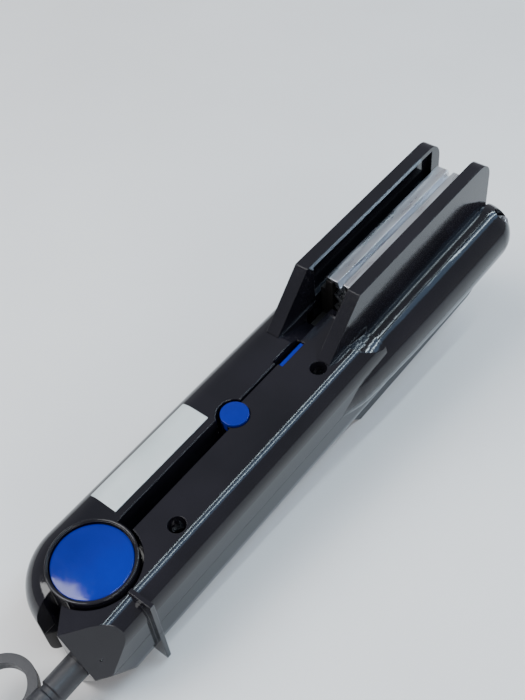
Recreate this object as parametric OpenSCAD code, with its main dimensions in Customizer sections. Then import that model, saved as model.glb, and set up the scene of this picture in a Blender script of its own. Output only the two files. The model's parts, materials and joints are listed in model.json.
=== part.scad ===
// Hair crimper lying on its side on a table, mains cord put away behind it.
// The tool is drawn about its hinge: X to the tip, Y to the press arm, Z along the hinge.
// lay() then sets it down, head raised on its two guards. All sizes in mm.

/* [Handle] */
// Half the width of the closed handle
grip_hw = 22.6; // [22:0.1:23.2]
// Half the thickness of the handle
grip_ht = 16.5; // [16:0.1:17]
// Edge rounding of the handle
edge_r = 9; // [8:0.5:10]
// Shell wall
wall = 2.2; // [1.8:0.1:2.4]
// Front end of the handle shells
grip_end = 126; // [125:0.5:127]
// Largest radius of the casing beside the plates
bulge_r = 13.2; // [12.8:0.1:13.6]

/* [Head] */
// Height of the guards above the handle
fin_h = 18.8; // [17:0.1:20]
// Thickness of the guards
fin_t = 5.2; // [4.5:0.1:5.2]
// Where the guard's slanted rear edge reaches its top
fin_rear = 122.4; // [121:0.1:124]
// Front edge of the guards
fin_front = 210; // [209:0.5:211]
// Corner rounding of the guards
fin_r = 8; // [6:0.5:10]
// Half the width of the crimping plates
plate_h = 26.7; // [26:0.1:27]
// Depth of the crimp wave either side of its middle
wave_a = 1.3; // [1:0.1:1.4]

/* [Hinge] */
// Radius of the blue caps
cap_r = 13.05; // [12.8:0.05:13.1]
// Outer radius of the raised ring
ring_r = 14.6; // [14.4:0.1:14.8]
// Height of the ring above the hinge middle
ring_z = 17.8; // [17.4:0.1:18]
// Radius of the hinge sleeve
sleeve_r = 5; // [4.8:0.1:5]

/* [Button] */
// Radius of the lock button
button_r = 5; // [4.8:0.1:5]
// Distance of the button from the hinge
button_x = 68.2; // [67:0.2:69]

/* [Cord] */
// Cord diameter
cord_d = 6; // [5.8:0.1:6]
// Length of the rubber relief boot
boot_len = 55; // [50:1:58]

/* [Hidden] */
$fn = 96;

black = [0.03, 0.03, 0.035];
blue = [0.02, 0.12, 0.75];
metal = [0.75, 0.76, 0.78];
brown = [0.16, 0.13, 0.11];

// middle plane of the two plates, and where each guard starts and ends from it
y0 = 0.4;
fin_in = 8.65;
fin_out = fin_in + fin_t;
fin_top = grip_ht + fin_h;
// plane of the slot on either arm, and of the narrow parting line
slot_m = -2.2;
slot_p = 3.6;
part_m = 1.6;
part_p = 2.4;
slot_end = 64;
moat_r = ring_r + 1.2;
hub_z = 6.3;
hub_r = 12;
bulge_x = 205;
tail_x = -23;
boot_y = -11.6;
boot_x = tail_x + 0.5;
plate_x0 = 130;
plate_x1 = 204.4;

// the tool rests on the lower ring and on the rear corners of the lower guards
tilt = atan((fin_top - ring_z) / (fin_rear + ring_r));
lift = ring_r * sin(tilt) + ring_z * cos(tilt);
boot_end = boot_x - boot_len;
x_max = bulge_x * cos(tilt) + bulge_r;
x_min = boot_end * cos(tilt) - 3.7 * sin(tilt);
shift = -(x_max + x_min) / 2;

module lay() translate([shift, -y0, lift]) rotate([0, -tilt, 0]) children();
function on_table(p) = [shift + p.x * cos(tilt) - p.z * sin(tilt), p.y - y0,
  lift + p.x * sin(tilt) + p.z * cos(tilt)];

// ---------------------------------------------------------------- outer form
module rounded(w, h, r) {
  square([2 * (w - r), 2 * h], center = true);
  square([2 * w, 2 * (h - r)], center = true);
  for (a = [-1, 1], b = [-1, 1])
    translate([a * (w - r), b * (h - r)]) circle(r = r);
}

module grip(i, x0, x1)
  translate([x0, 0, 0]) rotate([90, 0, 90]) linear_extrude(x1 - x0)
    rounded(grip_hw - i, grip_ht - i, edge_r - i);

module butt(i)
  rotate_extrude() intersection() {
    rounded(grip_hw - i, grip_ht - i, edge_r - i);
    translate([0, -40]) square([40, 80]);
  }

// casing beside the plates: s is 1 on the press arm and -1 on the main arm
module bulge(s, i) {
  yb = y0 + s * fin_out;
  r0 = grip_hw - abs(yb);
  d = bulge_r - r0;
  translate([0, yb, 0]) rotate([0, 90, 0]) rotate_extrude() {
    polygon([[0, 98 + i], [r0 - i, 98 + i], [r0 + 0.04 * d - i, 101], [r0 + 0.14 * d - i, 104],
      [r0 + 0.31 * d - i, 107], [r0 + 0.46 * d - i, 110], [r0 + 0.55 * d - i, 113],
      [r0 + 0.64 * d - i, 118], [r0 + 0.73 * d - i, 126], [r0 + 0.87 * d - i, 140],
      [r0 + 0.97 * d - i, 160], [bulge_r - i, 175], [bulge_r - i, bulge_x], [0, bulge_x]]);
    intersection() {
      translate([0, bulge_x]) circle(r = bulge_r - i);
      translate([0, bulge_x - 1]) square([40, 40]);
    }
  }
}

module slab(z0, z1) translate([-40, -60, z0]) cube([280, 120, z1 - z0]);

// side of the parting plane that belongs to each arm, inset by i
module side_m(i) {
  translate([-30, -40]) square([31 + slot_end + i, 40 + slot_m - i]);
  translate([slot_end - 1 + i, -40]) square([grip_end - slot_end + 1 - 2 * i, 40 + part_m - i]);
}
module side_p(i) {
  translate([-30, slot_p + i]) square([30 + slot_end + i, 40]);
  translate([slot_end - 1, part_p + i]) square([grip_end - slot_end + 1 - i, 40]);
}

module tail_plan(i)
  polygon([[1, -1.9 - i], [-15.6 + i, -2.5 - i], [tail_x + i, -8.4 - i / 2], [tail_x + i, -40],
    [1, -40]]);

// slanted facets at the outer rear corner of the tail
module tail_facets(i)
  for (m = [0, 1]) mirror([0, 0, m])
    translate([tail_x, -8.4, grip_ht]) rotate([0, 61.8, 233.1])
      translate([-40, -40, -i]) cube([80, 80, 40]);

// outer shoulder of the handle, eased down to the casing
module shoulder_cut(s, i) {
  edge = fin_out + 0.2 - i;
  r = bulge_r - i;
  difference() {
    translate([104, s > 0 ? y0 + edge : y0 - edge - 40, -30]) cube([30, 40, 60]);
    translate([0, y0 + s * fin_out, 0]) rotate([0, 90, 0]) rotate_extrude()
      polygon([[0, 103], [r + 6.4, 103], [r + 6.4, 105], [r + 4.4, 111], [r + 2.7, 116],
        [r + 1.3, 120.5], [r + 0.6, 124], [r + 0.3, 136], [0, 136]]);
  }
}

module main_form(i) {
  difference() {
    intersection() {
      grip(i, tail_x - 1 + i, grip_end - i);
      translate([0, 0, -30]) linear_extrude(60) difference() {
        side_m(i);
        translate([-40, -50]) square([40, 100]);
      }
    }
    shoulder_cut(-1, i);
  }
  difference() {
    intersection() {
      grip(i, tail_x - 1, 1);
      translate([0, 0, -30]) linear_extrude(60) tail_plan(i);
    }
    tail_facets(i);
  }
}

module press_form(i) {
  difference() {
    intersection() {
      union() {
        grip(i, 0, grip_end - i);
        butt(i);
      }
      translate([0, 0, -30]) linear_extrude(60) side_p(i);
    }
    shoulder_cut(1, i);
  }
}

module casing(s, i)
  intersection() {
    bulge(s, i);
    translate([90, s > 0 ? y0 + fin_out + 0.1 + i * 0.8 : y0 - fin_out - 0.1 - i * 0.8 - 40, -30])
      cube([140, 40, 60]);
  }

// narrow foot of each guard, let in flush along the casing beside it
module foot_slab(s, g)
  for (m = [0, 1]) mirror([0, 0, m])
    translate([127 - g, s > 0 ? y0 + fin_out - 1 : y0 - fin_out - 4.5 - g, 9])
      cube([77 + 2 * g, 5.5 + g, 12]);

screw_pts = [[25, 12.3], [100.6, 11], [211, 20.3]];
module at_screws(s) for (p = screw_pts) translate([p.x, s * p.y, 0]) children();

// ---------------------------------------------------------------- shells
module main_solid(z0, z1)
  intersection() {
    slab(z0, z1);
    difference() {
      union() {
        difference() {
          union() {
            main_form(0);
            casing(-1, 0);
          }
          difference() {
            union() {
              main_form(wall);
              casing(-1, wall);
            }
            // walls kept round the button well, the lens pocket and over the hinge
            translate([button_x, 0, -4]) cylinder(r = 7.4, h = 30);
            translate([92, -3.2, 8]) cube([17, 10, 20]);
            for (m = [0, 1]) mirror([0, 0, m])
              translate([0, 0, hub_z - 2]) cylinder(r = moat_r + 1.8, h = 30);
          }
          foot_slab(-1, 0.15);
        }
        // stop flange beside the hinge
        translate([-0.8, -25, -17.3]) cube([1.6, 9, 34.6]);
        // middle knuckle and its neck
        translate([0, 0, -hub_z]) cylinder(r = hub_r, h = 2 * hub_z);
        translate([-4, -17, -hub_z]) cube([16, 16, 2 * hub_z]);
        // bosses of the case screws
        intersection() {
          at_screws(-1) translate([0, 0, -20]) cylinder(r = 4.7, h = 40);
          union() {
            main_form(0.5);
            casing(-1, 0.5);
          }
        }
      }
      // moat round the ring
      for (m = [0, 1]) mirror([0, 0, m])
        translate([0, 0, hub_z + 0.02]) cylinder(r = moat_r, h = 30);
      translate([0, 0, -20]) cylinder(r = sleeve_r + 0.03, h = 40);
      // button well and lens pocket
      difference() {
        translate([button_x, 0, -4]) cylinder(r = button_r + 0.3, h = 40);
        translate([button_x - 6, -9, 6.5]) cube([12, 9, 3.3]);
        translate([button_x, 0, 6.5]) cylinder(r = button_r + 0.2, h = 3.3);
      }
      translate([button_x, 0, 5]) cylinder(r = 3.05, h = 10);
      translate([94, -0.3, 12.8]) cube([13, 8, 10]);
      translate([97, -3.4, 8.6]) cube([7, 8, 5]);
      // screw recesses from above, tapped below
      at_screws(-1) translate([0, 0, 5]) cylinder(r = 3.05, h = 30);
      at_screws(-1) translate([0, 0, -6.3]) cylinder(r = 1.5, h = 15);
      // cord entry and clamp bay, openings for the leads and the carrier's tongue
      translate([tail_x - 2, boot_y, 0]) rotate([0, 90, 0]) cylinder(r = 3.1, h = 14);
      translate([tail_x - 2, boot_y, 0]) rotate([0, 90, 0]) cylinder(r = 4.45, h = 5.5);
      translate([-18.7, -19.15, -5.6]) cube([5.9, 14.35, 11.6]);
      translate([-14, -19.6, -2.6]) cube([9, 12, 5.2]);
      translate([-8, -19.9, -2.6]) cube([24, 2.7, 5.2]);
      translate([8, -19.9, -2.6]) cube([20, 12, 5.2]);
      translate([grip_end - 3, -8.2, -9.3]) cube([6, 5.8, 18.6]);
    }
  }

module main_shell_upper() color(black) lay() main_solid(0.05, 40);

module main_shell_lower() color(black) lay() union() {
  main_solid(-40, -0.05);
  // posts under the clamp
  for (y = [-17.2, -6.6])
    translate([-16, y, -5.8]) difference() {
      cylinder(r = 1.9, h = 6.8);
      translate([0, 0, 1]) cylinder(r = 0.95, h = 9);
    }
}

module press_solid(z0, z1)
  intersection() {
    slab(z0, z1);
    difference() {
      union() {
        difference() {
          union() {
            press_form(0);
            casing(1, 0);
          }
          difference() {
            union() {
              press_form(wall);
              casing(1, wall);
            }
            translate([button_x, 0, -30]) cylinder(r = 8.6, h = 60);
            translate([91.5, 2, -30]) cube([18, 3.8, 60]);
            translate([104, 2, 8]) cube([16, 7.6, 20]);
          }
          foot_slab(1, 0.15);
        }
        intersection() {
          at_screws(1) translate([0, 0, -20]) cylinder(r = 4.7, h = 40);
          union() {
            press_form(0.5);
            casing(1, 0.5);
          }
        }
        for (m = [0, 1]) mirror([0, 0, m])
          translate([0, 0, hub_z + 0.6]) cylinder(r = ring_r, h = ring_z - hub_z - 0.6);
      }
      // room for the middle knuckle
      translate([0, 0, -hub_z - 0.6]) cylinder(r = hub_r + 0.6, h = 2 * hub_z + 1.2);
      translate([0, 0, -20]) cylinder(r = sleeve_r + 0.06, h = 40);
      for (m = [0, 1]) mirror([0, 0, m])
        translate([0, 0, 15.7]) cylinder(r = cap_r + 0.35, h = 10);
      // notch round the button, pocket beside the lens, sloped facet by the guard
      translate([button_x, 0, -4]) cylinder(r = 6.4, h = 40);
      translate([93.5, -2, 5]) cube([14, 5.7, 20]);
      translate([104.5, part_p - 1, grip_ht]) rotate([0, 22, 0]) cube([40, 6.2 + 1, 20]);
      at_screws(1) translate([0, 0, -35]) cylinder(r = 3.05, h = 30);
      at_screws(1) translate([0, 0, -8.7]) cylinder(r = 1.5, h = 15);
      translate([grip_end - 3, 3.6, -9.3]) cube([6, 5.8, 18.6]);
      translate([10, 2, -3]) cube([12, 14, 6]);
    }
  }

module press_shell_upper() color(black) lay() press_solid(0.05, 40);

module press_shell_lower() color(black) lay() union() {
  press_solid(-40, -0.05);
  // tongue that the lock button drops into
  translate([button_x, 0, -3.3]) difference() {
    union() {
      cylinder(r = 4.7, h = 3);
      translate([-4.7, 0, 0]) cube([9.4, 8.4, 3]);
    }
    translate([0, 0, -1]) cylinder(r = 3.4, h = 5);
  }
}

// ---------------------------------------------------------------- head
module guard_2d() {
  polygon([[fin_rear - fin_h - 0.1, grip_ht + 0.1], [fin_rear, fin_top],
    [fin_front - fin_r, fin_top], [fin_front - fin_r, fin_top - fin_r],
    [fin_front, fin_top - fin_r], [fin_front, fin_r - fin_top],
    [fin_front - fin_r, fin_r - fin_top], [fin_front - fin_r, -fin_top],
    [fin_rear, -fin_top], [fin_rear - fin_h - 0.1, -grip_ht - 0.1],
    [grip_end + 0.4, -grip_ht - 0.1], [grip_end + 0.4, grip_ht + 0.1]]);
  for (m = [-1, 1]) translate([fin_front - fin_r, m * (fin_top - fin_r)]) circle(r = fin_r);
}

module guard(s) {
  translate([0, s > 0 ? y0 + fin_out : y0 - fin_in, 0]) rotate([90, 0, 0])
    linear_extrude(fin_t) guard_2d();
  intersection() {
    difference() {
      bulge(s, 0);
      bulge(s, 2);
    }
    foot_slab(s, 0);
  }
}

module guard_cut(s)
  for (m = [0, 1]) mirror([0, 0, m])
    translate([126, s > 0 ? y0 + fin_in - 1 : y0 - fin_in - 2.2, grip_ht + 2])
      cube([78, 3.2, fin_h - 4]);

module main_guard() color(black) lay() difference() {
  guard(-1);
  guard_cut(-1);
}
module press_guard() color(black) lay() difference() {
  guard(1);
  guard_cut(1);
}

wave = [for (k = [0 : 15]) [(k % 2 == 0 ? 1 : -1) * wave_a, -22.5 + 3 * k]];
function plate_line(s) = concat([[6.2, -plate_h], [1.15, -plate_h], [0.35, -24]],
  [for (w = wave) [0.35 + s * w.x, w.y]], [[0.35, 24], [1.15, plate_h], [6.2, plate_h],
  [6.2, plate_h - 1.2], [2.3, plate_h - 1.2], [1.95, 24]],
  [for (k = [15 : -1 : 0]) [1.95 + s * wave[k].x, wave[k].y]],
  [[1.95, -24], [2.3, 1.2 - plate_h], [6.2, 1.2 - plate_h]]);

// u is the distance from the middle plane of the plates
module from_middle(s) translate([0, y0, 0]) mirror([0, s > 0 ? 0 : 1, 0]) children();
plate_pts = [[136, -9], [199, -9]];

module crimp_plate(s)
  from_middle(s) {
    difference() {
      union() {
        translate([plate_x0, 0, 0]) rotate([90, 0, 90]) linear_extrude(plate_x1 - plate_x0)
          polygon(plate_line(s));
        for (p = plate_pts)
          translate([p.x, 1.9, p.y]) rotate([-90, 0, 0]) cylinder(r = 2.6, h = 4);
      }
      for (p = plate_pts)
        translate([p.x, 2.6, p.y]) rotate([-90, 0, 0]) cylinder(r = 1.25, h = 6);
    }
  }

module carrier(s)
  from_middle(s) difference() {
    union() {
      translate([129.5, 3.4, -25.3]) cube([75.5, 2.7, 50.6]);
      translate([129.5, 5, -21]) cube([75.5, 3.5, 42]);
      translate([110.2, 4.6, -7.5]) cube([20, 3.8, 15]);
    }
    translate([141.6, 3, -14.4]) cube([52.8, 1.9, 28.8]);
    translate([109, 5.3, -3]) cube([37, 2.6, 6]);
    translate([134, 3.9, -3]) cube([12, 4, 6]);
    for (p = plate_pts) translate([p.x, 3, p.y]) rotate([-90, 0, 0]) {
      cylinder(r = 2.7, h = 3.1);
      cylinder(r = 1.4, h = 9);
      translate([0, 0, 4]) cylinder(r = 2.6, h = 9);
    }
    translate([150, 6.6, 8]) rotate([0, 90, 0]) cylinder(r = 1.6, h = 12);
    translate([141, 4.7, 6.6]) cube([9.5, 3.3, 2.8]);
  }

module heater(s)
  from_middle(s) {
    translate([142, 3.35, -14]) cube([52, 1.4, 28]);
    for (z = [-1.6, 1.6]) translate([138.5, 4.25, z - 0.5]) cube([4, 0.4, 1]);
  }

module plate_screws(s)
  from_middle(s)
    for (p = plate_pts) translate([p.x, 0, p.y]) rotate([-90, 0, 0]) {
      translate([0, 0, 3.2]) cylinder(r = 1.2, h = 4.4);
      translate([0, 0, 7.05]) difference() {
        cylinder(r = 2.4, h = 1.3);
        translate([-2, -0.3, 0.7]) cube([4, 0.6, 1]);
        translate([-0.3, -2, 0.7]) cube([0.6, 4, 1]);
      }
    }

module main_heater_carrier() color(brown) lay() carrier(-1);
module press_heater_carrier() color(brown) lay() carrier(1);
module main_crimp_plate() color(metal) lay() crimp_plate(-1);
module press_crimp_plate() color(metal) lay() crimp_plate(1);
module main_heater() color([0.85, 0.83, 0.76]) lay() heater(-1);
module press_heater() color([0.85, 0.83, 0.76]) lay() heater(1);
module main_plate_screws() color(metal) lay() plate_screws(-1);
module press_plate_screws() color(metal) lay() plate_screws(1);
module thermal_fuse() color([0.8, 0.8, 0.78]) lay() from_middle(-1) {
  translate([151, 6.6, 8]) rotate([0, 90, 0]) cylinder(r = 1.3, h = 9);
  translate([141.6, 6.6, 8]) rotate([0, 90, 0]) cylinder(r = 0.4, h = 10);
}

// ---------------------------------------------------------------- small parts
module case_screw() {
  translate([0, 0, -6]) cylinder(r = 1.45, h = 12);
  translate([0, 0, 5.05]) difference() {
    union() {
      cylinder(r = 2.8, h = 1.4);
      translate([0, 0, 1.4]) cylinder(r1 = 2.8, r2 = 2, h = 0.7);
    }
    translate([-1.6, -0.35, 1]) cube([3.2, 0.7, 2]);
    translate([-0.35, -1.6, 1]) cube([0.7, 3.2, 2]);
  }
}
module case_screws_main() color(metal) lay() at_screws(-1) case_screw();
module case_screws_press() color(metal) lay() at_screws(1) mirror([0, 0, 1]) case_screw();

module rating_label() color([0.8, 0.82, 0.82]) lay() intersection() {
  difference() {
    grip(-0.25, 17, 62);
    grip(0, 16, 63);
  }
  translate([16, 6.5, 5]) cube([48, 11.5, 20]);
}

module pilot_lens() color(blue) lay() union() {
  translate([94.2, -0.1, 13.1]) cube([12.6, 1.6, 2.6]);
  translate([97.4, -1.2, 10.6]) cube([6.2, 2.4, 2.8]);
}

module pilot_lamp() color([0.9, 0.5, 0.3]) lay() union() {
  translate([83, -5.2, 10.4]) rotate([0, 90, 0]) cylinder(r = 1.7, h = 7.5);
  translate([90.5, -5.2, 10.4]) sphere(r = 1.7);
  for (z = [9.8, 11]) translate([78.5, -5.2, z]) rotate([0, 90, 0]) cylinder(r = 0.3, h = 5);
}

module lock_button() color(blue) lay() translate([button_x, 0, 0]) difference() {
  union() {
    intersection() {
      translate([0, 0, 13.2]) cylinder(r = button_r, h = 4.6);
      translate([0, 0, 17.7 - 30]) sphere(r = 30);
    }
    translate([0, 0, 0.5]) cylinder(r = 3, h = 13);
  }
  translate([0, 0, 5.4]) difference() {
    cylinder(r = 4, h = 0.8);
    translate([0, 0, -1]) cylinder(r = 2.4, h = 3);
  }
}

module lock_clip() color(metal) lay() translate([button_x, 0, 5.5]) difference() {
  cylinder(r = 4.1, h = 0.6);
  translate([0, 0, -1]) cylinder(r = 2.45, h = 3);
  translate([-1.6, 0, -1]) cube([3.2, 6, 3]);
}

module pivot_sleeve() color(metal) lay() difference() {
  translate([0, 0, -15.2]) cylinder(r = sleeve_r, h = 30.4);
  translate([0, 0, -16]) cylinder(r = 3.6, h = 32);
  for (a = [-1, 1]) translate([0, 0, a * 2]) rotate([0, 90, 0])
    translate([0, 0, -8]) cylinder(r = 1.5, h = 16);
}

module pivot_cap() {
  translate([0, 0, 15.9]) cylinder(r = cap_r, h = 1.1);
  translate([0, 0, 17]) cylinder(r1 = cap_r, r2 = cap_r - 0.6, h = 0.4);
  translate([0, 0, 17.4]) cylinder(r1 = cap_r - 0.6, r2 = 6, h = 0.4);
  translate([0, 0, 8.5]) cylinder(r = 3.55, h = 8);
}
module pivot_cap_upper() color(blue) lay() pivot_cap();
module pivot_cap_lower() color(blue) lay() mirror([0, 0, 1]) pivot_cap();

module friction_washers() color(metal) lay()
  for (m = [0, 1]) mirror([0, 0, m]) translate([0, 0, hub_z + 0.05]) difference() {
    cylinder(r = 9, h = 0.5);
    translate([0, 0, -1]) cylinder(r = sleeve_r + 0.2, h = 3);
  }

// ---------------------------------------------------------------- wiring
module main_leads() color([0.2, 0.3, 0.6]) lay()
  for (z = [-1.3, 1.3])
    tube([[-13.5, boot_y, z], [-9, -15, z], [-6, -18.3, z], [6, -18.6, z], [18, -18.7, z],
      [34, -18.7, z], [48, -9.6, z], [84, -9.6, z], [92, -4.6, z], [106, -4.6, z],
      [109.5, -6.2, z], [130, -6.2, z], [137.4, -5.3, z]], 0.8, 6);

module press_leads() color([0.2, 0.3, 0.6]) lay()
  for (z = [-1.3, 1.3])
    tube([[10, 16.5, z], [16, 18.6, z], [34, 18.6, z], [48, 10.6, z], [84, 10.6, z],
      [92, 18.2, z], [104.5, 18.2, z], [109.5, 7, z], [130, 7, z], [137.4, 6.1, z]], 0.8, 6);

module cord_clamp() color([0.85, 0.85, 0.8]) lay() difference() {
  translate([-18.4, -19, 1.1]) cube([4.8, 14, 3.9]);
  translate([-25, boot_y, 0]) rotate([0, 90, 0]) cylinder(r = 3.05, h = 20);
  for (y = [-17.2, -6.6]) translate([-16, y, 0]) cylinder(r = 1.1, h = 10);
}

module cord_clamp_screws() color(metal) lay()
  for (y = [-17.2, -6.6]) translate([-16, y, 0]) {
    translate([0, 0, -4.4]) cylinder(r = 0.9, h = 9.6);
    translate([0, 0, 5.05]) cylinder(r = 1.7, h = 0.8);
  }

module cord_boot() color(black) lay() difference() {
  union() {
    translate([boot_x, boot_y, 0]) rotate([0, -90, 0]) rotate_extrude()
      polygon([[3.1, -2.4], [4.4, -2.4], [4.4, 10.5], [3.7, 11], [3.7, 12.5], [4.3, 13],
        [4.3, 17], [3.8, 17.5], [3.8, 19], [4.25, 19.5], [4.25, 24], [3.8, 24.5],
        [3.8, 26], [4.2, 26.5], [4.2, 31], [3.75, 31.5], [3.75, 33], [4.1, 33.5],
        [4.1, 38], [3.7, 38.5], [3.7, 40], [3.95, 40.5], [3.95, 45], [3.65, 45.5],
        [3.7, boot_len], [3.1, boot_len]]);
    // flat hanging loop moulded on the boot
    translate([-42, 0.8, -1.9]) difference() {
      cylinder(r = 11, h = 3.8);
      translate([0, 0, -1]) cylinder(r = 7.8, h = 6);
    }
  }
  translate([-40 - 60, boot_y, 0]) rotate([0, 90, 0]) cylinder(r = 3.1, h = 100);
}

// ---------------------------------------------------------------- cord
// smooth run through hand-set points, then rings across it
function mid_pt(a, b, c, d, t) = 0.5 * ((2 * b) + (c - a) * t + (2 * a - 5 * b + 4 * c - d) * t * t
  + (3 * b - a - 3 * c + d) * t * t * t);
function at_pt(p, i) = p[max(0, min(len(p) - 1, i))];
function run(p, n) = concat([for (i = [0 : len(p) - 2], j = [0 : n - 1])
  mid_pt(at_pt(p, i - 1), p[i], p[i + 1], at_pt(p, i + 2), j / n)], [p[len(p) - 1]]);
function unit(v) = v / norm(v);
function heading(p, i) = unit(at_pt(p, i + 1) - at_pt(p, i - 1));
function ring(p, i, r, k) = let (d = heading(p, i), a = unit(cross(d, [0, 0, 1])), b = cross(a, d))
  [for (j = [0 : k - 1]) p[i] + r * cos(360 * j / k) * a + r * sin(360 * j / k) * b];

module tube(p, r, k) {
  m = len(p);
  pts = [for (i = [0 : m - 1]) each ring(p, i, r, k)];
  sides = [for (i = [0 : m - 2], j = [0 : k - 1])
    [i * k + j, i * k + (j + 1) % k, (i + 1) * k + (j + 1) % k, (i + 1) * k + j]];
  polyhedron(pts, concat(sides, [[for (j = [k - 1 : -1 : 0]) j], [for (j = [0 : k - 1]) (m - 1) * k + j]]));
}

coil_r = 35.1;
coil_x = -208.4;
coil_y = 4.3;
coil_out = coil_r + 3.2;
cord_z = cord_d / 2;
cord_pts = [on_table([-14, boot_y, 0]), on_table([-34, boot_y, 0]), on_table([-56, boot_y, 0]),
  on_table([boot_end - 4, boot_y, 0]), [-160, -13.5, 7.4], [-174, -20, 5.2], [-188, -28, 3.6],
  [-198, -32.5, 3.05], [coil_x, coil_y - coil_out, cord_z]];

module power_cord() color(black) tube(run(cord_pts, 4), cord_d / 2 - 0.02, 10);

// the rest of the cord, wound in turns
module cord_coil() color(black) difference() {
  translate([coil_x, coil_y, 0]) rotate_extrude() translate([coil_r, 0]) {
    translate([-6.2, 3]) square([12.4, 19.2]);
    translate([-3.2, 0]) square([6.4, 25.2]);
    for (a = [-1, 1], z = [3, 22.2]) translate([a * 3.2, z]) circle(r = 3, $fn = 48);
  }
  translate([coil_x + coil_r - 15, coil_y - 4.6, -1]) difference() {
    cube([30, 9.2, 28]);
    translate([10.2, -1, 2.4]) cube([9.6, 12, 22.4]);
  }
}

module coil_tie() color([0.08, 0.08, 0.08]) translate([coil_x + coil_r, coil_y - 4.5, 0])
  difference() {
    translate([-6.1, 0, 0]) cube([12.2, 9, 25.2]);
    translate([-4.9, -1, 1.3]) cube([9.8, 11, 22.6]);
  }

// the plug lies on the coil
plug_x = coil_x + 10;
plug_y = coil_y - 13.7;
plug_h = 6.85;
plug_z = 25.3 + plug_h;
tail_pts = [[coil_x - 15, coil_y + 35, 24.6], [coil_x, coil_y + coil_out, 28.6],
  [coil_x + 10, coil_y + coil_out, 29.5], [coil_x + 28.4, coil_y + 30.7, 30.5],
  [coil_x + 36, coil_y + 12.3, 31.3], [coil_x + 28.4, coil_y - 6.1, 32],
  [coil_x + 18, coil_y - 12.8, plug_z], [plug_x, plug_y, plug_z]];
module cord_tail() color(black) tube(run(tail_pts, 3), cord_d / 2 - 0.02, 10);

module plug_body() color(black) translate([plug_x - 0.1, plug_y, plug_z]) union() {
  rotate([0, -90, 0]) cylinder(r1 = 3.6, r2 = 5.2, h = 14);
  translate([-13.5, 0, -plug_h]) linear_extrude(2 * plug_h)
    polygon([[0, -6], [0, 6], [-10, 13], [-22, 17.6], [-35, 17.6], [-35, -17.6],
      [-22, -17.6], [-10, -13]]);
}

module plug_pins() color(metal) for (a = [-1, 1])
  translate([plug_x - 48.7, plug_y + a * 9.3, plug_z]) rotate([0, -90, 0]) {
    cylinder(r = 2, h = 17.5);
    translate([0, 0, 17.5]) sphere(r = 2);
  }

main_shell_upper();
main_shell_lower();
main_guard();
main_heater_carrier();
main_crimp_plate();
main_heater();
main_plate_screws();
thermal_fuse();
pilot_lens();
pilot_lamp();
lock_button();
lock_clip();
case_screws_main();
press_shell_upper();
press_shell_lower();
press_guard();
press_heater_carrier();
press_crimp_plate();
press_heater();
press_plate_screws();
case_screws_press();
rating_label();
pivot_sleeve();
pivot_cap_upper();
pivot_cap_lower();
friction_washers();
main_leads();
press_leads();
cord_clamp();
cord_clamp_screws();
cord_boot();
power_cord();
cord_coil();
coil_tie();
cord_tail();
plug_body();
plug_pins();
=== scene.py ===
import json
import math
import bpy
import bmesh
from mathutils import Matrix, Vector


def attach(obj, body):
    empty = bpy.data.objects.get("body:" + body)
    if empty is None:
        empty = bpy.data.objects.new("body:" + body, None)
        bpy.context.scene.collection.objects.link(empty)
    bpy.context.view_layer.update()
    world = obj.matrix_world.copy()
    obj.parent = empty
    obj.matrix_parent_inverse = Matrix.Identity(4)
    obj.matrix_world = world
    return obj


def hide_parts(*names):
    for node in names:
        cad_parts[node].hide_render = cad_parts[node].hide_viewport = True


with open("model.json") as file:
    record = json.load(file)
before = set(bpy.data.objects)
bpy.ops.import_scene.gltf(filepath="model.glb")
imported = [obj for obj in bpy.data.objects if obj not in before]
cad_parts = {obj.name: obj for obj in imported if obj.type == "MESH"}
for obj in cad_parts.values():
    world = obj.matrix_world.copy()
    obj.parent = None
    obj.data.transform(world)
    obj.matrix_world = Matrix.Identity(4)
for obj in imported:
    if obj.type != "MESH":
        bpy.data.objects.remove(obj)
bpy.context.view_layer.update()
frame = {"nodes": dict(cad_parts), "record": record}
MM = 0.001

# the tool's own frame, as the CAD lays it on the table
HINGE = next(j for j in frame["record"]["behaviour"]["joints"] if j["name"] == "arm_hinge")
ORIGIN = Vector(HINGE["pos_m"])
UP = Vector(HINGE["axis"]).normalized()
FWD = Vector((UP.z, 0.0, -UP.x))
SIDE = UP.cross(FWD)
LAY = Matrix((FWD, SIDE, UP)).transposed()


def place(x, y, z):
    """A point in the tool's frame, in mm, as a point on the table in metres."""
    return ORIGIN + LAY @ Vector((x * MM, y * MM, z * MM))


# ------------------------------------------------------------ camera
# where it stands in the tool's frame, in mm, and its right, up and back directions there
CAMERA_AT = (-69.5, -147.7, 281.3)
CAMERA_AXES = ((0.6246, -0.7763, -0.0848), (0.6236, 0.4305, 0.6526), (-0.4701, -0.4605, 0.7530))
SENSOR_MM = 24.0
LENS_MM = 33.898
SHIFT = (0.0134, -0.0067)


def camera():
    """The photo's viewing angle."""
    cam = bpy.data.objects.new("camera", bpy.data.cameras.new("camera"))
    bpy.context.scene.collection.objects.link(cam)
    axes = Matrix([LAY @ Vector(axis) for axis in CAMERA_AXES]).transposed()
    turn = axes.to_quaternion().to_matrix().to_4x4()
    cam.matrix_world = Matrix.Translation(place(*CAMERA_AT)) @ turn
    cam.data.sensor_fit = "VERTICAL"
    cam.data.sensor_height = SENSOR_MM
    cam.data.lens = LENS_MM
    cam.data.shift_x, cam.data.shift_y = SHIFT
    cam.data.clip_start = 0.01
    bpy.context.scene.camera = cam


camera()


# ------------------------------------------------------------ materials
def nodes_of(name):
    m = bpy.data.materials.new(name)
    m.use_nodes = True
    nt = m.node_tree
    return m, nt, nt.nodes["Principled BSDF"]


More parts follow.
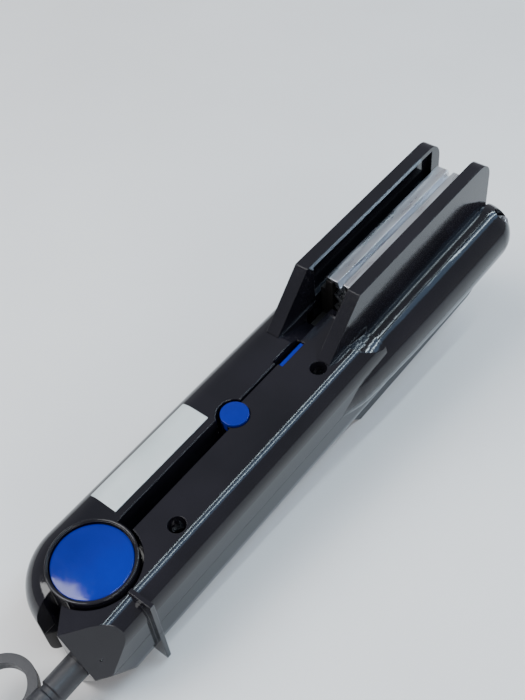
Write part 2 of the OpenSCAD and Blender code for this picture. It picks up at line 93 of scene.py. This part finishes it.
def noise(nt, scale, detail=4.0, stretch=(1, 1, 1)):
    tc = nt.nodes.new("ShaderNodeTexCoord")
    mp = nt.nodes.new("ShaderNodeMapping")
    mp.inputs["Scale"].default_value = stretch
    n = nt.nodes.new("ShaderNodeTexNoise")
    n.inputs["Scale"].default_value = scale
    n.inputs["Detail"].default_value = detail
    nt.links.new(tc.outputs["Object"], mp.inputs["Vector"])
    nt.links.new(mp.outputs["Vector"], n.inputs["Vector"])
    return n


def ramp(nt, src, a, b, lo=0.3, hi=0.7):
    r = nt.nodes.new("ShaderNodeValToRGB")
    r.color_ramp.elements[0].position = lo
    r.color_ramp.elements[1].position = hi
    r.color_ramp.elements[0].color = (*a, 1)
    r.color_ramp.elements[1].color = (*b, 1)
    nt.links.new(src, r.inputs["Fac"])
    return r.outputs["Color"]


MOTTLE_SCALE = 25.0
EDGE_RADIUS = 0.0004
BUMP_HEIGHT = 0.0004


def surface(name, dark, light, rough, metallic=0.0, grain=900.0, bump=0.02, stretch=(1, 1, 1), shine=0.5):
    """A finish with mottled colour, grainy gloss, a fine bump and softened edges."""
    m, nt, p = nodes_of(name)
    big = noise(nt, MOTTLE_SCALE, 5.0)
    fine = noise(nt, grain, 3.0, stretch)
    nt.links.new(ramp(nt, big.outputs["Fac"], dark, light), p.inputs["Base Color"])
    r0, r1 = rough
    gloss = ramp(nt, fine.outputs["Fac"], (r0,) * 3, (r1,) * 3, 0.35, 0.75)
    nt.links.new(gloss, p.inputs["Roughness"])
    p.inputs["Metallic"].default_value = metallic
    p.inputs["Specular IOR Level"].default_value = shine
    b = nt.nodes.new("ShaderNodeBump")
    b.inputs["Strength"].default_value = bump
    b.inputs["Distance"].default_value = BUMP_HEIGHT
    nt.links.new(fine.outputs["Fac"], b.inputs["Height"])
    bev = nt.nodes.new("ShaderNodeBevel")
    bev.samples = 4
    bev.inputs["Radius"].default_value = EDGE_RADIUS
    nt.links.new(bev.outputs["Normal"], b.inputs["Normal"])
    nt.links.new(b.outputs["Normal"], p.inputs["Normal"])
    return m


BLACK = ((0.004, 0.004, 0.006), (0.010, 0.009, 0.013))
RUBBER = ((0.008, 0.008, 0.010), (0.020, 0.020, 0.024))
MATS = {
    "black_gloss": surface("black_gloss", *BLACK, (0.05, 0.14), grain=1400, bump=0.02, shine=0.4),
    "blue_plastic": surface("blue_plastic", (0.0, 0.005, 0.13), (0.0, 0.014, 0.27), (0.08, 0.18),
                            grain=700, bump=0.02, shine=0.4),
    "plate_aluminium": surface("plate_aluminium", (0.62, 0.63, 0.66), (0.80, 0.81, 0.84), (0.24, 0.46),
                               1.0, grain=500, bump=0.06, stretch=(0.06, 1, 1)),
    "steel": surface("steel", (0.40, 0.40, 0.42), (0.55, 0.55, 0.57), (0.25, 0.45), 1.0, bump=0.05),
    "carrier_resin": surface("carrier_resin", (0.012, 0.011, 0.010), (0.03, 0.026, 0.022), (0.45, 0.7),
                             grain=1200, bump=0.15),
    "ceramic_pad": surface("ceramic_pad", (0.72, 0.70, 0.64), (0.82, 0.80, 0.74), (0.6, 0.8), bump=0.1),
    "lamp_glass": surface("lamp_glass", (0.7, 0.45, 0.3), (0.8, 0.5, 0.35), (0.1, 0.2), grain=400),
    "label_foil": surface("label_foil", (0.60, 0.66, 0.66), (0.76, 0.81, 0.81), (0.28, 0.5), 0.4,
                          grain=1800, bump=0.05),
    "lead_sleeve": surface("lead_sleeve", (0.10, 0.20, 0.50), (0.16, 0.28, 0.6), (0.5, 0.7), bump=0.3),
    "boot_rubber": surface("boot_rubber", *RUBBER, (0.36, 0.56), grain=1600, bump=0.12),
    "cord_jacket": surface("cord_jacket", *RUBBER, (0.32, 0.5), grain=1200, bump=0.08),
    "tie_plastic": surface("tie_plastic", (0.03, 0.03, 0.03), (0.05, 0.05, 0.05), (0.4, 0.6), bump=0.1),
    "clamp_nylon": surface("clamp_nylon", (0.68, 0.67, 0.62), (0.78, 0.77, 0.72), (0.4, 0.6), bump=0.05),
    "plug_rubber": surface("plug_rubber", *RUBBER, (0.4, 0.6), grain=1500, bump=0.12),
}
for part in frame["record"]["subparts"]:
    o = frame["nodes"][part["node"]]
    o.data.materials.clear()
    o.data.materials.append(MATS[part["material_slot"]])


def mesh_object(name, verts, faces, slot):
    me = bpy.data.meshes.new(name)
    me.from_pydata([tuple(v) for v in verts], [], faces)
    me.validate()
    o = bpy.data.objects.new(name, me)
    bpy.context.scene.collection.objects.link(o)
    me.materials.append(MATS[slot])
    for f in me.polygons:
        f.use_smooth = True
    return o


# ------------------------------------------------------------ cord
# the route, in metres; the coil's turns are worked out, seven and a half of them, two wide
CORD_R = 0.003
BEAD_R = 0.00034
COIL = Vector((-0.2084, 0.0043, 0.0))
BOOT_END = place(-77.5, -11.6, 0)
ROUTE = [(-0.160, -0.0135, 0.0074), (-0.174, -0.020, 0.0052), (-0.188, -0.028, 0.0036),
         (-0.198, -0.0325, 0.00305), (-0.2084, -0.034, 0.003)]
TAIL = [(0, 0.0383, 0.0286), (0.010, 0.0383, 0.0295), (0.0284, 0.0307, 0.0305), (0.036, 0.0123, 0.0313),
        (0.0284, -0.0061, 0.032), (0.018, -0.0128, 0.03215), (0.010, -0.0137, 0.03215)]
OUTER, INNER = 0.0383, 0.0319
COLUMNS = [OUTER, INNER, INNER, OUTER, OUTER, INNER, INNER, OUTER, OUTER]
LAYERS = [0.003, 0.003, 0.0094, 0.0094, 0.0158, 0.0158, 0.0222, 0.0222, 0.0286]
STEPS = 48
# degrees: where the first turn crosses over, how much earlier each later one does, and how long it takes
FIRST_CROSSING, EARLIER, CROSSING = 330.0, 30.0, 28.0


def round_line(name, points, radius, fineness, slot, body):
    """A round-section line along points, in metres."""
    curve = bpy.data.curves.new(name, "CURVE")
    curve.dimensions = "3D"
    spline = curve.splines.new("POLY")
    spline.points.add(len(points) - 1)
    for target, point in zip(spline.points, points):
        target.co = (*point, 1)
    curve.bevel_depth = radius
    curve.bevel_resolution = fineness
    curve.use_fill_caps = True
    obj = bpy.data.objects.new(name, curve)
    bpy.context.scene.collection.objects.link(obj)
    curve.materials.append(MATS[slot])
    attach(obj, body)
    return obj


def smooth_run(knots, steps):
    """A smooth curve through the knots (Catmull-Rom)."""
    out = []
    last = len(knots) - 1
    for i in range(last):
        a, b, c, d = knots[max(0, i - 1)], knots[i], knots[i + 1], knots[min(last, i + 2)]
        for k in range(steps):
            t = k / steps
            bend = (2 * a - 5 * b + 4 * c - d) * t * t
            twist = (3 * b - a - 3 * c + d) * t ** 3
            out.append(0.5 * (2 * b + (c - a) * t + bend + twist))
    out.append(knots[-1])
    return out


def coil_points():
    """Seven whole turns and a half, each of which eases over to the next column or layer."""
    out = []
    last = len(COLUMNS) - 2
    for turn in range(last + 1):
        for k in range(STEPS // 2 if turn == last else STEPS):
            angle = 360.0 * k / STEPS
            begins = FIRST_CROSSING - EARLIER * turn
            s = min(1.0, max(0.0, (angle - begins) / CROSSING))
            s = s * s * (3 - 2 * s)
            r = COLUMNS[turn] * (1 - s) + COLUMNS[turn + 1] * s
            z = LAYERS[turn] * (1 - s) + LAYERS[turn + 1] * s
            b = math.radians(-90 - angle)
            out.append(COIL + Vector((r * math.cos(b), r * math.sin(b), z)))
    return out


def cord():
    """The whole cord, from the boot to the plug, and the point where it leaves the boot."""
    back = place(-81.5, -11.6, 0)
    lead = smooth_run([BOOT_END, back] + [Vector(q) for q in ROUTE], 6)[:-1]
    pts = lead + coil_points() + smooth_run([COIL + Vector(q) for q in TAIL], 8)
    o = round_line("cord", pts, CORD_R, 5, "cord_jacket", "main_arm")
    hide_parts("power_cord", "cord_coil", "cord_tail")
    return o, pts[0]


# ------------------------------------------------------------ mesh pieces
ROUND_STEPS = 96
LOFT_STEPS = 40


def grid_faces(rows, cols):
    """Quads between rows of points, each row closed on itself."""
    faces = []
    for i in range(rows - 1):
        for j in range(cols):
            k = (j + 1) % cols
            faces.append((i * cols + j, i * cols + k, (i + 1) * cols + k, (i + 1) * cols + j))
    return faces


def closing_faces(rows, cols):
    """Joins the last row of a grid back to its first."""
    last = (rows - 1) * cols
    return [(last + j, last + (j + 1) % cols, (j + 1) % cols, j) for j in range(cols)]


def revolve(name, profile, slot, body, flip):
    """A profile of (radius, height) in tool mm, turned round the hinge."""
    steps = ROUND_STEPS
    verts = []
    for r, h in profile:
        for k in range(steps):
            a = 2 * math.pi * k / steps
            verts.append(place(r * math.cos(a), r * math.sin(a), flip * h))
    faces = grid_faces(len(profile), steps)
    for row, order in ((0, -1), (len(profile) - 1, 1)):
        faces.append(tuple(row * steps + k for k in range(steps))[::order])
    o = mesh_object(name, verts, faces, slot)
    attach(o, body)
    return o


def loft(name, sections, slot, body):
    """Rounded sections (centre, half width, half height, squareness) along -X, in metres."""
    steps = LOFT_STEPS
    verts = []
    for centre, w, h, power in sections:
        for k in range(steps):
            a = 2 * math.pi * k / steps
            ca, sa = math.cos(a), math.sin(a)
            y = w * math.copysign(abs(ca) ** (2 / power), ca)
            z = h * math.copysign(abs(sa) ** (2 / power), sa)
            verts.append(Vector(centre) + Vector((0, y, z)))
    faces = grid_faces(len(sections), steps)
    faces.append(tuple(range(steps)))
    faces.append(tuple((len(sections) - 1) * steps + k for k in range(steps))[::-1])
    o = mesh_object(name, verts, faces, slot)
    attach(o, body)
    return o


def caps():
    """The two domed blue caps over the hinge."""
    dome = [(13.05, 15.9), (13.05, 16.9)]
    for k in range(1, 15):
        a = math.radians(90 * k / 15)
        dome.append((12.55 * math.cos(a) + 0.5, 16.95 + 0.85 * math.sin(a)))
    dome.append((0.4, 17.8))
    for name, flip in (("upper", 1), ("lower", -1)):
        o = revolve("cap_dome_" + name, dome, "blue_plastic", "main_arm", flip)
        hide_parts("pivot_cap_" + name)


def ring_bead():
    """The second lip round the upper cap."""
    arc = []
    for k in range(13):
        a = math.radians(180 * k / 12)
        arc.append((14.1 + 0.42 * math.cos(a), 17.75 + 0.34 * math.sin(a)))
    verts = []
    for r, h in arc:
        for k in range(ROUND_STEPS):
            a = 2 * math.pi * k / ROUND_STEPS
            verts.append(place(r * math.cos(a), r * math.sin(a), h))
    faces = grid_faces(len(arc), ROUND_STEPS) + closing_faces(len(arc), ROUND_STEPS)
    o = mesh_object("ring_bead", verts, faces, "black_gloss")
    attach(o, "press_arm")


def parting_bead():
    """The press arm's lip: along the slot, round the button in an arc, on to the lens."""
    line = [(16.5, 3.9, 16.5), (61.6, 3.9, 16.5)]
    for k in range(13):
        a = math.radians(146 - 116 * k / 12)
        line.append((68.2 + 6.75 * math.cos(a), 6.75 * math.sin(a), 16.5))
    line += [(74.9, 2.75, 16.5), (93.2, 2.75, 16.5), (93.3, 3.95, 16.5), (104.3, 3.95, 16.5)]
    points = [place(*q) for q in line]
    round_line("parting_bead", points, BEAD_R, 3, "black_gloss", "press_arm")


def plug():
    """A flat two-pin plug with a ribbed neck and ribbed sides."""
    x0, y0, z0 = COIL.x + 0.0099, COIL.y - 0.0137, 0.03215
    rows = [(0.0, 0.0037, 0.0037, 2)]
    for k in range(5):
        d = 0.0022 * k + 0.001
        r = 0.0038 + 0.00022 * k
        rows += [(d, r, r, 2), (d + 0.0012, r, r, 2), (d + 0.0014, r - 0.0006, r - 0.0006, 2),
                 (d + 0.002, r - 0.0006, r - 0.0006, 2)]
    rows += [(0.0128, 0.0050, 0.0050, 2.0), (0.0150, 0.0068, 0.0060, 2.3), (0.0190, 0.0094, 0.0064, 2.8),
             (0.0240, 0.0128, 0.0067, 3.2)]
    for k in range(4):
        d = 0.027 + 0.004 * k
        w = 0.0146 + 0.0007 * k
        rows += [(d, w, 0.0068, 3.5), (d + 0.0012, w - 0.0007, 0.0066, 3.5), (d + 0.0026, w, 0.0068, 3.5)]
    rows += [(0.0440, 0.0175, 0.00684, 3.8), (0.0474, 0.0176, 0.00684, 4), (0.0481, 0.0174, 0.0066, 4),
             (0.0485, 0.0168, 0.0060, 4)]
    o = loft("plug_shell", [((x0 - d, y0, z0), w, h, p) for d, w, h, p in rows], "plug_rubber", "main_arm")
    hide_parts("plug_body")
    return o


def tie():
    """A strap round one side of the coil."""
    centre = Vector((COIL.x + 0.0351, COIL.y, 0.0126))
    rows = []
    for k in range(48):
        a = 2 * math.pi * k / 48
        ca, sa = math.cos(a), math.sin(a)
        wide = 0.0056 * math.copysign(abs(ca) ** 0.5, ca)
        high = 0.0120 * math.copysign(abs(sa) ** 0.5, sa)
        hug = Vector((wide, 0, high))
        rows.append((hug, hug.normalized()))
    section = [(-0.0045, 0), (-0.0045, 0.0004), (-0.0041, 0.00055), (0.0041, 0.00055), (0.0045, 0.0004),
               (0.0045, 0), (0.0041, -0.0005), (-0.0041, -0.0005)]
    verts = [centre + hug + Vector((0, y, 0)) + out * d for hug, out in rows for y, d in section]
    faces = grid_faces(48, 8) + closing_faces(48, 8)
    o = mesh_object("strap", verts, faces, "tie_plastic")
    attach(o, "main_arm")
    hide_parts("coil_tie")
    return o


rope, start = cord()
plug_shell = plug()
strap = tie()
caps()
ring_bead()
parting_bead()


# ------------------------------------------------------------ stage
def stage():
    """A pale floor, a soft sky and area lights."""
    bm = bmesh.new()
    bmesh.ops.create_grid(bm, x_segments=20, y_segments=20, size=3.0)
    me = bpy.data.meshes.new("floor")
    bm.to_mesh(me)
    floor = bpy.data.objects.new("floor", me)
    bpy.context.scene.collection.objects.link(floor)
    m, nt, p = nodes_of("floor")
    n = noise(nt, 6.0, 6.0)
    nt.links.new(ramp(nt, n.outputs["Fac"], (0.74, 0.73, 0.72), (0.80, 0.79, 0.78)), p.inputs["Base Color"])
    p.inputs["Roughness"].default_value = 0.45
    me.materials.append(m)
    w = bpy.data.worlds.new("world")
    bpy.context.scene.world = w
    w.use_nodes = True
    sky = w.node_tree.nodes["Background"]
    sky.inputs["Color"].default_value = (0.86, 0.88, 0.95, 1)
    sky.inputs["Strength"].default_value = 0.5
    white = (1, 1, 1)
    for name, loc, target, size, power, colour in (
        ("key", (-0.60, 0.55, 1.05), (0, 0, 0), (0.8, 0.8), 19, white),
        ("front", (-0.45, -0.95, 0.60), (-0.05, 0, 0.02), (0.5, 0.3), 4, white),
        ("strip_a", (0.42, -0.30, 0.74), (0.05, 0, 0.03), (1.5, 0.02), 3.2, (0.75, 0.92, 1)),
        ("strip_b", (0.42, -0.14, 0.79), (0.05, 0, 0.03), (1.5, 0.02), 3.2, (0.75, 0.92, 1)),
        ("panel", (0.42, -0.36, 0.86), (0.05, 0, 0.03), (1.5, 0.3), 3, (0.35, 0.62, 1)),
    ):
        d = bpy.data.lights.new(name, "AREA")
        d.shape = "RECTANGLE"
        d.size, d.size_y = size
        d.energy = power
        d.color = colour
        o = bpy.data.objects.new(name, d)
        bpy.context.scene.collection.objects.link(o)
        o.location = loc
        aim = (Vector(target) - Vector(loc)).normalized()
        side = Vector((1, 0, 0)) if size[0] > size[1] * 2 else aim.cross(Vector((0, 0, 1))).normalized()
        up = side.cross(aim).normalized()
        side = aim.cross(up).normalized()
        o.rotation_euler = Matrix((side, up, -aim)).transposed().to_euler()


stage()
